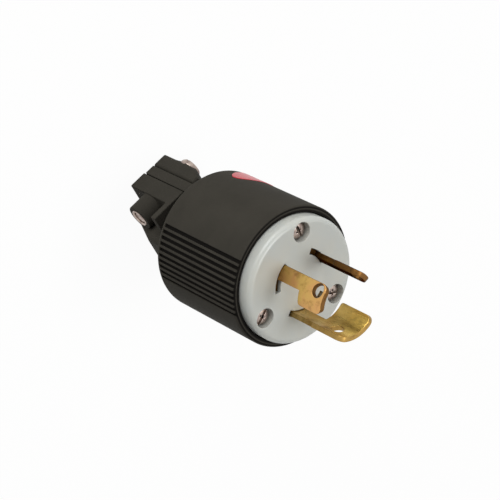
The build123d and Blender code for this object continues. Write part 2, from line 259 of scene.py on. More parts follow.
class ClampSizes(bpy.types.PropertyGroup):
    """Sizes of the two clamp halves."""

    half_width: length("Half width", "From the axis to the clamp's side", 0.0153)
    saddle_half_width: length("Saddle half width", "From the axis to the saddle's side", 0.0077)
    cord: length("Cord radius", "Radius of the cord that the lands grip", 0.006)
    edge: length("Edge", "Softening of the moulded edges", 0.0003)


class ScrewSizes(bpy.types.PropertyGroup):
    """Sizes of the screws and colour of their plating."""

    face_head: length("Face screw head", "Head radius of a face screw", 0.0025)
    clamp_head: length("Clamp screw head", "Head radius of a clamp screw", 0.0034)
    colour: colour_for("zinc plating", "#b8a99f")


def deselect():
    """Leaves edit mode and lets go of everything."""
    if bpy.context.object and bpy.context.object.mode != "OBJECT":
        bpy.ops.object.mode_set(mode="OBJECT")
    bpy.ops.object.select_all(action="DESELECT")


def take(piece):
    """Selects one piece by itself."""
    deselect()
    piece.select_set(True)
    bpy.context.view_layer.objects.active = piece


def edit(piece):
    """Opens one piece in edit mode with all of it selected."""
    take(piece)
    bpy.ops.object.mode_set(mode="EDIT")
    bpy.ops.mesh.select_mode(type="VERT")
    bpy.ops.mesh.select_all(action="SELECT")


def middle_of(element):
    """The middle of an edge or a face."""
    return sum((corner.co for corner in element.verts), Vector()) / len(element.verts)


def pick(piece, kind, test):
    """Selects the edges or faces of the open piece that pass a test."""
    bpy.ops.mesh.select_mode(type=kind)
    bpy.ops.mesh.select_all(action="DESELECT")
    shape = bmesh.from_edit_mesh(piece.data)
    for element in {"EDGE": shape.edges, "FACE": shape.faces}[kind]:
        if test(element):
            element.select_set(True)
    shape.select_flush_mode()
    bmesh.update_edit_mesh(piece.data)


def block(name, low, high):
    """A block from its low corner to its high corner."""
    deselect()
    size = [top - bottom for bottom, top in zip(low, high)]
    centre = [(top + bottom) / 2 for bottom, top in zip(low, high)]
    bpy.ops.mesh.primitive_cube_add(size=1, location=centre, scale=size)
    bpy.ops.object.transform_apply(location=True, rotation=True, scale=True)
    piece = bpy.context.object
    piece.name = name
    return piece


def rod(name, radius, start, end, sides=64, tip_radius=None):
    """A round rod, or a cone, from one point to another."""
    deselect()
    start, end = Vector(start), Vector(end)
    run = end - start
    bpy.ops.mesh.primitive_cone_add(
        vertices=sides,
        radius1=radius,
        radius2=radius if tip_radius is None else tip_radius,
        depth=run.length,
        location=(start + end) / 2,
        rotation=run.to_track_quat("Z", "Y").to_euler(),
    )
    bpy.ops.object.transform_apply(location=True, rotation=True, scale=True)
    piece = bpy.context.object
    piece.name = name
    return piece


def turned(name, outline, steps):
    """Turns an outline of (radius, height) points about Z."""
    deselect()
    bpy.ops.mesh.primitive_plane_add(size=1)
    piece = bpy.context.object
    piece.name = name
    points = [Vector((radius, 0, height)) for radius, height in outline]
    edit(piece)
    bpy.ops.mesh.merge(type="CENTER")
    bpy.ops.transform.translate(value=points[0])
    for here, there in zip(points, points[1:]):
        bpy.ops.mesh.extrude_vertices_move(TRANSFORM_OT_translate={"value": there - here})
    bpy.ops.mesh.select_mode(type="EDGE")
    bpy.ops.mesh.select_all(action="SELECT")
    bpy.ops.mesh.spin(steps=steps, angle=radians(360), center=(0, 0, 0), axis=(0, 0, -1))
    close_up(piece)
    return piece


def close_up(piece):
    """Merges doubled corners and points every face outwards."""
    edit(piece)
    bpy.ops.mesh.remove_doubles(threshold=0.002)
    bpy.ops.mesh.normals_make_consistent(inside=False)
    deselect()


def curved_bar(name, inner, outer, start, end, low, high):
    """A bar curved round the axis from one angle to another."""
    deselect()
    bpy.ops.mesh.primitive_plane_add(size=1, rotation=(pi / 2, 0, 0))
    piece = bpy.context.object
    piece.name = name
    piece.scale = (outer - inner, high - low, 1)
    piece.location = ((outer + inner) / 2, 0, (high + low) / 2)
    bpy.ops.object.transform_apply(location=True, rotation=True, scale=True)
    turn(piece, start)
    edit(piece)
    steps = max(4, round((end - start) / 1.5))
    bpy.ops.mesh.spin(steps=steps, angle=radians(end - start), center=(0, 0, 0), axis=(0, 0, -1))
    close_up(piece)
    return piece


def on_circle(radius, angle):
    """The place, seen along the axis, at a radius and an angle."""
    return radius * cos(radians(angle)), radius * sin(radians(angle))


def turn(piece, angle):
    """Turns a piece about the plug's axis and keeps the turn in its mesh."""
    take(piece)
    piece.rotation_euler = (0, 0, radians(angle))
    bpy.ops.object.transform_apply(location=True, rotation=True, scale=True)


def move(piece, way):
    """Moves a piece and keeps the move in its mesh."""
    take(piece)
    piece.location = way
    bpy.ops.object.transform_apply(location=True, rotation=True, scale=True)


def copy_of(piece, name):
    """A copy of a piece with a mesh of its own."""
    take(piece)
    bpy.ops.object.duplicate()
    twin = bpy.context.object
    twin.name = name
    twin.data.name = name
    return twin


def combine(piece, other, way):
    """Joins another shape to a piece, cuts it away, or keeps what both hold."""
    take(piece)
    bpy.ops.object.modifier_add(type="BOOLEAN")
    change = piece.modifiers[-1]
    change.operation = way
    change.object = other
    change.solver = "MANIFOLD"
    bpy.ops.object.modifier_apply(modifier=change.name)
    bpy.data.objects.remove(other)


def soften(piece, width, segments=3, sharper_than=40.0):
    """Rounds every edge that is sharper than an angle."""
    take(piece)
    bpy.ops.object.modifier_add(type="BEVEL")
    change = piece.modifiers[-1]
    change.width = width
    change.segments = segments
    change.limit_method = "ANGLE"
    change.angle_limit = radians(sharper_than)
    change.use_clamp_overlap = False
    bpy.ops.object.modifier_apply(modifier=change.name)


def slice_off(piece, point, normal):
    """Cuts away what lies beyond a plane and closes the cut."""
    edit(piece)
    way = Vector(normal).normalized()
    bpy.ops.mesh.bisect(plane_co=point, plane_no=way, use_fill=True, clear_outer=True)
    deselect()


def score(piece, point, normal):
    """Draws a line of edges round a piece where a plane crosses it."""
    edit(piece)
    bpy.ops.mesh.bisect(plane_co=point, plane_no=normal)
    deselect()


def wrap(piece, angle):
    """Rolls a flat piece, lying along X, about an upright axis so that its width spans an angle."""
    take(piece)
    bpy.ops.object.modifier_add(type="SIMPLE_DEFORM")
    roll = piece.modifiers[-1]
    roll.deform_method = "BEND"
    roll.deform_axis = "Z"
    roll.angle = radians(angle)
    bpy.ops.object.modifier_apply(modifier=roll.name)


def finish(piece, material, slot, *nodes):
    """Brings a piece to metres, smooths and paints it, and puts it in its nodes' place."""
    take(piece)
    piece.scale = (1 / METRE,) * 3
    bpy.ops.object.transform_apply(location=True, rotation=True, scale=True)
    bpy.ops.object.shade_smooth_by_angle(angle=radians(30))
    bpy.ops.object.modifier_add(type="WEIGHTED_NORMAL")
    piece.modifiers[-1].keep_sharp = True
    bpy.ops.object.modifier_apply(modifier=piece.modifiers[-1].name)
    piece.data.materials.clear()
    piece.data.materials.append(material)
    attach(piece, BODY)
    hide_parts(*nodes)
    deselect()


def second_finish(piece, material, test):
    """Gives the faces that pass a test a material of their own."""
    piece.data.materials.append(material)
    edit(piece)
    pick(piece, "FACE", test)
    piece.active_material_index = len(piece.data.materials) - 1
    bpy.ops.object.material_slot_assign()
    deselect()


def on_cut_edge(face):
    """Whether a face of a rolled blade is one that the shears left, not one of the strip's own."""
    middle = middle_of(face)
    outward = Vector((middle.x, middle.y, 0)).normalized()
    return middle.z > -2.0 / METRE and abs(face.normal.dot(outward)) < 0.75


def dress(node, material):
    """Gives a CAD node its material."""
    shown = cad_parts[node]
    shown.data.materials.clear()
    shown.data.materials.append(material)


def arc_points(centre, radius, start, end, steps):
    """Points on an arc of an outline, both ends included."""
    angles = [radians(start + (end - start) * step / steps) for step in range(steps + 1)]
    return [(centre[0] + radius * cos(a), centre[1] + radius * sin(a)) for a in angles]


def linear(colour):
    """An sRGB hex colour as linear red, green, blue and alpha."""
    parts = [int(colour[i : i + 2], 16) / 255 for i in (1, 3, 5)]
    return [p / 12.92 if p <= 0.04045 else ((p + 0.055) / 1.055) ** 2.4 for p in parts] + [1.0]


def feed(tree, node, inputs):
    """Fills or links a node's inputs by name or number."""
    for key, value in inputs.items():
        if isinstance(value, bpy.types.NodeSocket):
            tree.links.new(value, node.inputs[key])
        else:
            node.inputs[key].default_value = value


def add_node(tree, kind, settings=None, inputs=None):
    """Adds a node with its settings and inputs."""
    node = tree.nodes.new(kind)
    for setting, value in (settings or {}).items():
        setattr(node, setting, value)
    feed(tree, node, inputs or {})
    return node


def noise(tree, place, size, detail, roughness=0.5):
    """Noise between zero and one, with features of a size in millimetres."""
    inputs = {"Vector": place, "Scale": METRE / size, "Detail": detail, "Roughness": roughness}
    return add_node(tree, "ShaderNodeTexNoise", inputs=inputs).outputs["Fac"]


def ranged(tree, value, start=0.0, end=1.0, low=0.0, high=1.0):
    """A value brought from one range to another, and held inside it."""
    inputs = {"Value": value, "From Min": start, "From Max": end, "To Min": low, "To Max": high}
    return add_node(tree, "ShaderNodeMapRange", inputs=inputs).outputs["Result"]


def blend(tree, factor, first, second):
    """Two colours mixed by a factor."""
    inputs = {"Factor": factor, 6: first, 7: second}
    return add_node(tree, "ShaderNodeMix", {"data_type": "RGBA"}, inputs).outputs[2]


def reckon(tree, operation, *values):
    """The result of a calculation with two or three values."""
    return add_node(tree, "ShaderNodeMath", {"operation": operation}, dict(enumerate(values))).outputs[0]


def height_at(tree, place):
    """The height of a place along the plug's axis."""
    return add_node(tree, "ShaderNodeSeparateXYZ", inputs={"Vector": place}).outputs["Z"]


def new_material(name):
    """An empty material with its place on the piece and its shader ready."""
    material = bpy.data.materials.new(name)
    material.use_nodes = True
    tree = material.node_tree
    tree.nodes.clear()
    shader = add_node(tree, "ShaderNodeBsdfPrincipled")
    add_node(tree, "ShaderNodeOutputMaterial", inputs={"Surface": shader.outputs["BSDF"]})
    place = add_node(tree, "ShaderNodeTexCoord").outputs["Object"]
    return material, tree, shader, place


def roughen(tree, shader, grain, low, high, depth=None):
    """Lets a grain vary the gloss, and raise the surface where it has a depth in millimetres."""
    feed(tree, shader, {"Roughness": ranged(tree, grain, low=low, high=high)})
    if depth:
        bump = add_node(tree, "ShaderNodeBump", inputs={"Height": grain, "Distance": depth / METRE})
        feed(tree, shader, {"Normal": bump.outputs["Normal"]})


def moulded_nylon(name, colour, lighter, roughness, grain, depth):
    """Moulded plastic: faint clouds in its colour and a fine even grain from the mould."""
    material, tree, shader, place = new_material(name)
    clouds = noise(tree, place, size=9.0, detail=3.0)
    tint = blend(tree, clouds, linear(colour), linear(lighter))
    speckle = noise(tree, place, size=grain, detail=4.0)
    roughen(tree, shader, speckle, roughness - 0.06, roughness + 0.08, depth)
    feed(tree, shader, {"Base Color": tint, "IOR": 1.53})
    return material, tree, shader, tint


def stamped_brass(name, colour, warm, stain, rubbed, heights, roughness, patch=4.5, rim=WHITE):
    """Cold-rolled brass strip: lines along it, warm patches, spots of old oil, and a rubbed tip."""
    material, tree, shader, place = new_material(name)
    drawn_out = add_node(tree, "ShaderNodeMapping", inputs={"Vector": place, "Scale": (1.0, 1.0, 0.06)})
    lines = noise(tree, drawn_out.outputs["Vector"], size=0.35, detail=3.0)
    patches = noise(tree, place, size=patch, detail=2.0)
    warmth = ranged(tree, patches, start=0.42, end=0.62)
    tinted = blend(tree, warmth, linear(colour), linear(warm))
    spots = noise(tree, place, size=1.8, detail=5.0, roughness=0.65)
    # The tip's bright patch has an uneven border: the height is shifted by the spots' own noise
    height = height_at(tree, place)
    uneven = reckon(tree, "MULTIPLY_ADD", spots, 8.0 / METRE, height)
    worn = ranged(tree, uneven, start=heights[0] / METRE, end=heights[1] / METRE)
    bright = blend(tree, worn, tinted, linear(rubbed))
    spotted = ranged(tree, spots, start=0.5, end=0.8, high=0.8)
    stained = blend(tree, spotted, bright, linear(stain))
    # The blade darkens towards where it leaves the face
    root = ranged(tree, height, start=4.0 / METRE, end=0.0, high=0.55)
    darker_near_face = blend(tree, root, stained, linear(stain))
    roughen(tree, shader, lines, roughness - 0.08, roughness + 0.12, 0.012)
    feed(tree, shader, {"Base Color": darker_near_face, "Metallic": 1.0, "Specular Tint": linear(rim)})
    return material


def plated_metal(name, colour, darker, roughness):
    """Bright plated or turned metal: small clouds and random handling marks over a smooth coat."""
    material, tree, shader, place = new_material(name)
    marks = noise(tree, place, size=0.5, detail=5.0)
    roughen(tree, shader, marks, roughness - 0.08, roughness + 0.1)
    clouds = noise(tree, place, size=1.6, detail=3.0)
    tint = blend(tree, ranged(tree, clouds, start=0.4, end=0.65), linear(colour), linear(darker))
    feed(tree, shader, {"Base Color": tint, "Metallic": 1.0})
    return material


def white_nylon():
    # Unpigmented nylon 6/6, injection moulded: milky, a little see-through at thin edges, satin
    colour = bpy.context.scene.plug_nose.colour
    material, tree, shader, _ = moulded_nylon("white_nylon_moulded", colour, "#c0beb3", 0.36, 0.35, 0.01)
    milky = {
        "Subsurface Weight": 0.3,
        "Subsurface Radius": (1.0, 0.95, 0.85),
        "Subsurface Scale": 1.2 / METRE,
    }
    feed(tree, shader, milky)
    return material


def black_nylon():
    # Impact-modified black nylon: warm near-black with a broad soft sheen from a spark-eroded mould
    sizes = bpy.context.scene.plug_housing
    material, tree, shader, tint = moulded_nylon(
        "black_nylon_moulded", sizes.colour, "#3f3c36", 0.68, 0.4, 0.02
    )
    place = add_node(tree, "ShaderNodeTexCoord").outputs["Object"]
    flat = add_node(tree, "ShaderNodeVectorMath", {"operation": "MULTIPLY"}, {0: place, 1: (1.0, 1.0, 0.0)})
    run = add_node(tree, "ShaderNodeVectorMath", {"operation": "LENGTH"}, {0: flat.outputs["Vector"]})
    radius, height = run.outputs["Value"], height_at(tree, place)
    # Painted shade: the floors of the grip grooves are darkened in the base colour
    below = ranged(tree, radius, start=sizes.radius - 0.2 / METRE, end=sizes.radius - 0.45 / METRE)
    above = reckon(tree, "GREATER_THAN", radius, sizes.radius - 0.8 / METRE)
    beside = reckon(tree, "GREATER_THAN", height, BACK / METRE + sizes.rear_round)
    floor = reckon(tree, "MULTIPLY", reckon(tree, "MULTIPLY", below, above), beside)
    # Painted shade: the lip round the nose, beside its gap, is darkened the same way
    lip = ranged(tree, radius, start=sizes.bore + 1.0 / METRE, end=sizes.bore + 0.6 / METRE)
    front = reckon(tree, "GREATER_THAN", height, (RIM - 0.6) / METRE)
    # Both masks of painted shade blend the base colour towards near-black
    painted_shade_mask = reckon(tree, "MAXIMUM", floor, reckon(tree, "MULTIPLY", lip, front))
    shaded = blend(tree, painted_shade_mask, tint, linear("#13110f"))
    feed(tree, shader, {"Base Color": shaded, "Specular IOR Level": 0.04})
    return material


def grey_thermoset():
    # Glass-filled phenolic, pressed: dull and slightly coarse
    return moulded_nylon("grey_thermoset_pressed", "#3f4043", "#56575a", 0.6, 0.3, 0.03)[0]


def yellow_brass():
    # Cartridge brass strip, stamped: yellow, and copper-coloured towards the tip where it has rubbed
    colour = bpy.context.scene.plug_blades.colour
    return stamped_brass(
        "yellow_brass_stamped", colour, "#cf9c62", "#7d5a2a", "#d6a267", (13.0, 24.0), 0.3
    )


def brass_painted_dark():
    # The same strip in a copy painted dark brown for shade and dark reflections, with the metal's orange
    # showing through; its dark rim tint also dims the grazing reflections
    tones = ("#4c3210", "#7c4a1a", "#2a1a08", "#80683e")
    return stamped_brass("brown_brass_stamped", *tones, (19.5, 22.5), 0.36, patch=6.0, rim="#70563a")


def gold_brass():
    # The same strip, given a lighter and more golden tone
    return stamped_brass(
        "gold_brass_stamped", "#e6c373", "#cea256", "#a88c4e", "#e0bc60", (14.0, 22.0), 0.28, patch=7.0
    )


def edge_painted_dark():
    # The strip's cut edge: rough, and painted dark brown as shade
    return stamped_brass(
        "brown_edge_sheared", "#54391a", "#65451d", "#2b1b0a", "#71502a", (12.0, 20.0), 0.45, patch=2.5
    )


def olive_edge():
    # The same cut edge in a lighter tone: dull yellow with a greenish cast
    return stamped_brass(
        "olive_edge_sheared", "#b0935a", "#94743a", "#5f4a26", "#a5854a", (10.0, 18.0), 0.42, patch=2.5
    )


def plated_steel():
    # Bright zinc over steel: pale grey with a faint warm cast
    colour = bpy.context.scene.plug_screws.colour
    return plated_metal("zinc_plated_steel", colour, "#80706a", 0.3)


def turned_brass():
    # Brass bar turned on a lathe: even, bright and a little greener than strip
    return plated_metal("brass_turned", "#d3b36c", "#b4924e", 0.24)


def green_lacquer():
    # Transparent green lacquer over a steel screw
    return plated_metal("green_lacquer_on_steel", "#3f8a55", "#2f6c41", 0.3)


def red_badge_plastic():
    # Red polycarbonate, moulded smooth and glossy
    material, tree, shader, _ = moulded_nylon(
        "red_polycarbonate_gloss", "#b5202f", "#c02a38", 0.3, 0.6, 0.002
    )
    feed(tree, shader, {"Specular IOR Level": 0.3, "Coat Weight": 0.15, "Coat Roughness": 0.15})
    return material


def seal_rubber():
    # Nitrile rubber, moulded: matt black with a faint bloom
    return moulded_nylon("nitrile_rubber_moulded", "#1f1e1d", "#2b2a28", 0.72, 0.5, 0.02)[0]


FINISHES = {}


def finish_of(make):
    """The material that a function makes, made the first time that it is asked for."""
    if make not in FINISHES:
        FINISHES[make] = make()
    return FINISHES[make]


class PLUG_OT_nose(bpy.types.Operator):
    """Model the pale nose with its slots and screw recesses"""

    bl_idname = "plug.nose"
    bl_label = "Nose"

    def execute(self, context):
        sizes = context.scene.plug_nose
        radius, edge = mm(sizes.radius), mm(sizes.edge)
        skirt = bottom_of("front_body")
        inside = radius - SKIRT_WALL
        outline = [(0.0, 0.0)]
        outline += arc_points((radius - edge, -edge), edge, 90, 0, 8)
        outline += [(radius, skirt), (inside, skirt), (inside, FACE_BACK), (0.0, FACE_BACK)]
        nose = turned("front_body_moulded", outline, 180)
        # The flat faces in front and behind become one face each
        edit(nose)
        pick(nose, "FACE", lambda face: middle_of(face).z > -NEAR)
        bpy.ops.mesh.dissolve_faces()
        pick(nose, "FACE", lambda face: abs(middle_of(face).z - FACE_BACK) < NEAR)
        bpy.ops.mesh.dissolve_faces()
        deselect()
        for angle in FACE_SCREWS:
            x, y = on_circle(SCREW_CIRCLE, angle)
            column = rod("column", COLUMN, (x, y, skirt), (x, y, COLUMN_TOP), 48)
            trim = rod("trim", inside + SKIRT_WALL / 2, (0, 0, skirt), (0, 0, COLUMN_TOP), 180)
            combine(column, trim, "INTERSECT")
            combine(nose, column, "UNION")
            recess = rod("recess", mm(sizes.recess), (x, y, SCREW_SEAT), (x, y, PAST), 48)
            combine(nose, recess, "DIFFERENCE")
            hole = rod("screw_hole", SCREW_HOLE, (x, y, skirt - PAST), (x, y, 0.0), 32)
            combine(nose, hole, "DIFFERENCE")
        for start, end, outer in BLADE_SLOTS:
            slot = curved_bar("slot", outer - SLOT_WIDTH, outer, start, end, FACE_BACK - PAST, PAST)
            combine(nose, slot, "DIFFERENCE")
        soften(nose, SMALL_EDGE, 2)
        finish(nose, finish_of(white_nylon), "white_nylon", "front_body")
        return {"FINISHED"}


def rolled_blade(name, radius, tip, stalk, reach, hole, sizes):
    """A blade cut flat from strip, softened, pierced and rolled round the plug's axis.

    The tip and the stalk are pairs of angles, and the hole is a height and an angle.
    """
    sheet, notch = mm(sizes.sheet), mm(sizes.notch)
    line = radius - sheet / 2
    low, high = tip[0] - SHOULDER, tip[1] + SHOULDER
    centre = (low + high) / 2

    def along(angle):
        """Where an angle of the rolled blade lies on the flat one."""
        return radians(angle - centre) * line

    def through_sheet(rim):
        """Whether an edge runs from one side of the sheet to the other."""
        return abs(rim.verts[0].co.y - rim.verts[1].co.y) > sheet / 2

    blank = block(name, (along(stalk[0]), -sheet / 2, BLANK_END), (along(stalk[1]), sheet / 2, reach))
    for height in (SHOULDER_TOP, ROOT_TOP, notch):
        score(blank, (0, 0, height), (0, 0, 1))
    edit(blank)
    for side, root_end, shoulder_end in (
        (along(stalk[0]), along(tip[0]), along(low)),
        (along(stalk[1]), along(tip[1]), along(high)),
    ):
        way = 1 if shoulder_end > side else -1
        if abs(root_end - side) > NEAR:
            for bottom, top in ((BLANK_END, ROOT_TOP), (notch, reach)):
                pick(
                    blank,
                    "FACE",
                    lambda face: face.normal.x * way > 0.9
                    and bottom < middle_of(face).z < top
                    and abs(middle_of(face).x - side) < NEAR,
                )
                bpy.ops.mesh.extrude_region_move(
                    TRANSFORM_OT_translate={"value": (root_end - side, 0, 0)}
                )
        pick(
            blank,
            "FACE",
            lambda face: face.normal.x * way > 0.9 and middle_of(face).z < SHOULDER_TOP,
        )
        bpy.ops.mesh.extrude_region_move(TRANSFORM_OT_translate={"value": (shoulder_end - root_end, 0, 0)})
    bpy.ops.mesh.select_all(action="SELECT")
    bpy.ops.mesh.dissolve_limited(angle_limit=radians(1))
    # The two round corners at the tip's end, then the small one at its heel beside the notch
    pick(
        blank,
        "EDGE",
        lambda rim: through_sheet(rim)
        and middle_of(rim).z > reach - NEAR
        and min(abs(middle_of(rim).x - along(angle)) for angle in tip) < NEAR,
    )
    bpy.ops.mesh.bevel(offset=TIP_ROUND, segments=8, affect="EDGES")
    pick(
        blank,
        "EDGE",
        lambda rim: through_sheet(rim)
        and abs(middle_of(rim).z - notch) < NEAR
        and abs(middle_of(rim).x - along(tip[1])) < NEAR,
    )
    bpy.ops.mesh.bevel(offset=HEEL_ROUND, segments=5, affect="EDGES")
    # The lead-in along the tip's end
    pick(
        blank,
        "EDGE",
        lambda rim: middle_of(rim).z > reach - NEAR and abs(rim.verts[0].co.x - rim.verts[1].co.x) > 0.5,
    )
    bpy.ops.mesh.bevel(offset=LEAD_IN, segments=3, affect="EDGES")
    deselect()
    height, place = hole[0], along(hole[1])
    pierced = rod("pierced", mm(sizes.hole), (place, -sheet, height), (place, sheet, height), 48)
    combine(blank, pierced, "DIFFERENCE")
    soften(blank, SMALL_EDGE, 3, 35.0)
    # Upright lines let the sheet roll smoothly
    steps = round((high - low) / STRIP)
    for step in range(1, steps):
        score(blank, (along(low + (high - low) * step / steps), 0, 0), (1, 0, 0))
    wrap(blank, high - low)
    move(blank, (0, -line, 0))
    turn(blank, centre + 90)
    # The flat arm that carries the terminal screw
    arm = block("arm", (radius - sheet, -ARM_HALF, ARM_END), (radius, ARM_HALF, ARM_TOP))
    soften(arm, SMALL_EDGE, 2)
    tapped = rod("tapped", TAPPED, (radius - 3, 0, TERMINAL), (radius + 3, 0, TERMINAL), 32)
    combine(arm, tapped, "DIFFERENCE")
    turn(arm, (tip[0] + tip[1]) / 2)
    combine(blank, arm, "UNION")
    return blank


class PLUG_OT_blades(bpy.types.Operator):
    """Model the three curved locking blades"""

    bl_idname = "plug.blades"
    bl_label = "Blades"

    def execute(self, context):
        sizes = context.scene.plug_blades
        for node, radius, tip, stalk, hole, coat, edge in (
            ("hot_blade", 9.1, (28, 68), (28, 50), (15.0, 43.5), brass_painted_dark, edge_painted_dark),
            ("neutral_blade", 8.6, (131, 187), (131, 160), (14.7, 145.8), yellow_brass, edge_painted_dark),
            ("ground_blade", 9.6, (245, 325), (247, 280), (14.6, 269.0), gold_brass, olive_edge),
        ):
            blade = rolled_blade(node + "_rolled", radius, tip, stalk, top_of(node), hole, sizes)
            finish(blade, finish_of(coat), "blade_brass", node)
            second_finish(blade, finish_of(edge), on_cut_edge)
        return {"FINISHED"}


def badge_oval(name, grow, edge=0.0):
    """An oval of sheet, wider all round by a clearance, wrapped on the housing's outside."""
    line = mm(bpy.context.scene.plug_housing.radius) + BADGE_PROUD - BADGE_SHEET / 2
    half = BADGE_HALF_WIDTH + grow
    oval = rod(name, 1.0, (0, -BADGE_SHEET / 2, 0), (0, BADGE_SHEET / 2, 0), 96)
    take(oval)
    oval.scale = (half, 1.0, BADGE_HALF_LENGTH + grow)
    bpy.ops.object.transform_apply(location=True, rotation=True, scale=True)
    if edge:
        soften(oval, edge, 3)
    for strip in range(1, BADGE_STRIPS):
        score(oval, (half * (2 * strip / BADGE_STRIPS - 1), 0, 0), (1, 0, 0))
    wrap(oval, degrees(2 * half / line))
    move(oval, (0, -line, BACK + BADGE_SETBACK))
    turn(oval, BADGE_ANGLE + 90)
    return oval


def grip_cutters(sizes):
    """The bars that cut the grip grooves of both panels, joined in one piece."""
    radius, width = mm(sizes.radius), mm(sizes.groove_width)
    floor = radius - mm(sizes.groove_depth)
    pattern = block(
        "groove", (floor, -width / 2, BACK + mm(sizes.rear_round)), (radius + PAST, width / 2, PAST)
    )
    edit(pattern)
    pick(
        pattern,
        "EDGE",
        lambda rim: middle_of(rim).x < floor + NEAR and abs(middle_of(rim).y) > width / 4,
    )
    bpy.ops.mesh.bevel(offset=0.2, segments=3, affect="EDGES")
    cutters = []
    for centre in GRIPS:
        for place in range(GROOVES):
            cutters.append(copy_of(pattern, "groove_copy"))
            turn(cutters[-1], centre + degrees(sizes.groove_pitch) * (place - (GROOVES - 1) / 2))
    bpy.data.objects.remove(pattern)
    deselect()
    for cutter in cutters:
        cutter.select_set(True)
    bpy.context.view_layer.objects.active = cutters[0]
    bpy.ops.object.join()
    return bpy.context.object


class PLUG_OT_housing(bpy.types.Operator):
    """Model the dark housing with its grip grooves, neck, posts and clamp rails"""

    bl_idname = "plug.housing"
    bl_label = "Housing"

    def execute(self, context):
        sizes = context.scene.plug_housing
        radius, bore, rear = mm(sizes.radius), mm(sizes.bore), mm(sizes.rear_bore)
        round_off = mm(sizes.rear_round)
        outline = [(bore, RIM), (radius - RIM_BEVEL, RIM), (radius, RIM - RIM_BEVEL)]
        outline += arc_points((radius - round_off, BACK + round_off), round_off, 0, -90, 8)
        outline += [(NECK, BACK), (NECK, BACK - NECK_LENGTH), (CORD_HOLE, BACK - NECK_LENGTH)]
        outline += [(CORD_HOLE, WALL - SEAL_DEPTH), (SEAL_SEAT, WALL - SEAL_DEPTH), (SEAL_SEAT, WALL)]
        outline += [(rear, WALL), (rear, BORE_STEP), (bore, BORE_STEP), (bore, RIM)]
        shell = turned("shell_moulded", outline, 240)
        combine(shell, grip_cutters(sizes), "DIFFERENCE")
        soften(shell, 0.2, 3)
        for low, high in (
            ((-RAIL_OUTER, RAIL_LOW), (-RAIL_INNER, RAIL_HIGH)),
            ((RAIL_INNER, -RAIL_HIGH), (RAIL_OUTER, -RAIL_LOW)),
        ):
            rail = block("rail", (*low, RAIL_END), (*high, BACK + 0.6))
            side = -CLAMP_SCREW_OFFSET if low[0] < 0 else CLAMP_SCREW_OFFSET
            hole = rod("rail_hole", CLAMP_SCREW_HOLE, (side, -8, CLAMP_SCREW), (side, 8, CLAMP_SCREW), 48)
            combine(rail, hole, "DIFFERENCE")
            soften(rail, 0.35, 3)
            turn(rail, CLAMP_SIDES[0] - 90)
            combine(shell, rail, "UNION")
        combine(shell, badge_oval("seat", BADGE_CLEARANCE), "DIFFERENCE")
        for angle in FACE_SCREWS:
            x, y = on_circle(SCREW_CIRCLE, angle)
            post = rod("post", POST, (x, y, WALL - 0.5), (x, y, POST_TOP), 48)
            hole = rod("post_hole", POST_HOLE, (x, y, POST_HOLE_FLOOR), (x, y, -20.0), 48)
            combine(post, hole, "DIFFERENCE")
            combine(shell, post, "UNION")
        finish(shell, finish_of(black_nylon), "black_nylon", "shell")
        return {"FINISHED"}


class PLUG_OT_badge(bpy.types.Operator):
    """Model the bare oval badge"""

    bl_idname = "plug.badge"
    bl_label = "Badge"

    def execute(self, context):
        badge = badge_oval("badge_bare", 0.0, 0.12)
        finish(badge, finish_of(red_badge_plastic), "red_badge", "badge")
        return {"FINISHED"}


